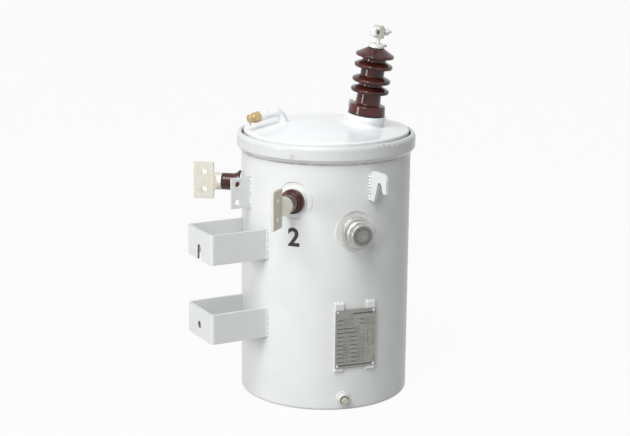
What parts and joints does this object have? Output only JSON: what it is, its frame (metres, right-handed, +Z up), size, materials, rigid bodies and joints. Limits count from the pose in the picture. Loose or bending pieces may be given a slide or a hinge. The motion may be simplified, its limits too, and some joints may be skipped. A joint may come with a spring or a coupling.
{
  "type": "distribution transformer",
  "caption": "Cylindrical oil-filled pole transformer with a clamped domed lid, a tall high-voltage bushing, side low-voltage bushings, pole brackets, lifting lugs and a tap changer.",
  "frame": {"origin": "centre of the tank foot, on the ground", "axes": "+Z up along the tank axis; -X towards the pole, square to the bracket faces; -Y close to the front lifting lug; angles in the source run from -Y towards +X"},
  "size_m": [0.5645, 0.5478, 0.9175],
  "materials": {
    "tank_paint": "smooth light grey enamel",
    "lid_paint": "glossy light grey enamel",
    "bracket_paint": "smooth light grey enamel on welded plate",
    "gasket_rubber": "matt black",
    "brown_porcelain": "glazed chocolate brown porcelain",
    "tinned_metal": "dull tin-plated bronze",
    "zinc_steel": "zinc-plated steel",
    "tap_metal": "machined aluminium",
    "plate_metal": "dull etched aluminium",
    "valve_brass": "aged brass",
    "oil_fill": "mineral oil round the core and coils, inside the closed tank",
    "cream_plastic": "cream moulded plastic"
  },
  "bodies": {
    "root": {"tank_bottom": "tank_paint", "tank_wall": "tank_paint", "core_and_oil": "oil_fill", "lid_gasket": "gasket_rubber", "lid": "lid_paint", "clamp_band": "tank_paint", "hv_collar": "lid_paint", "hv_gasket": "gasket_rubber", "hv_porcelain": "brown_porcelain", "hv_cap_gasket": "gasket_rubber", "hv_cap": "tinned_metal", "hv_cap_screw": "zinc_steel", "hv_eye_clamp": "tinned_metal", "hv_clamp_bolt": "tinned_metal", "lid_post": "lid_paint", "lid_post_collar": "cream_plastic", "lid_post_screw": "zinc_steel", "vent_pipe": "lid_paint", "vent_sleeve": "lid_paint", "vent_valve": "valve_brass", "ground_plate": "bracket_paint", "upper_bracket": "bracket_paint", "lower_bracket": "bracket_paint", "lifting_lug_front": "bracket_paint", "lifting_lug_rear": "bracket_paint", "tap_boss": "tank_paint", "tap_flange": "tap_metal", "tap_cap": "tap_metal", "nameplate_straps": "bracket_paint", "nameplate": "plate_metal", "nameplate_rivets": "tap_metal", "earth_boss": "tank_paint", "earth_bolt": "zinc_steel", "lv_left_boss": "tank_paint", "lv_left_gasket": "gasket_rubber", "lv_left_porcelain": "brown_porcelain", "lv_left_seal": "gasket_rubber", "lv_left_terminal": "tinned_metal", "lv_right_boss": "tank_paint", "lv_right_gasket": "gasket_rubber", "lv_right_porcelain": "brown_porcelain", "lv_right_seal": "gasket_rubber", "lv_right_terminal": "tinned_metal"}
  },
  "joints": []
}
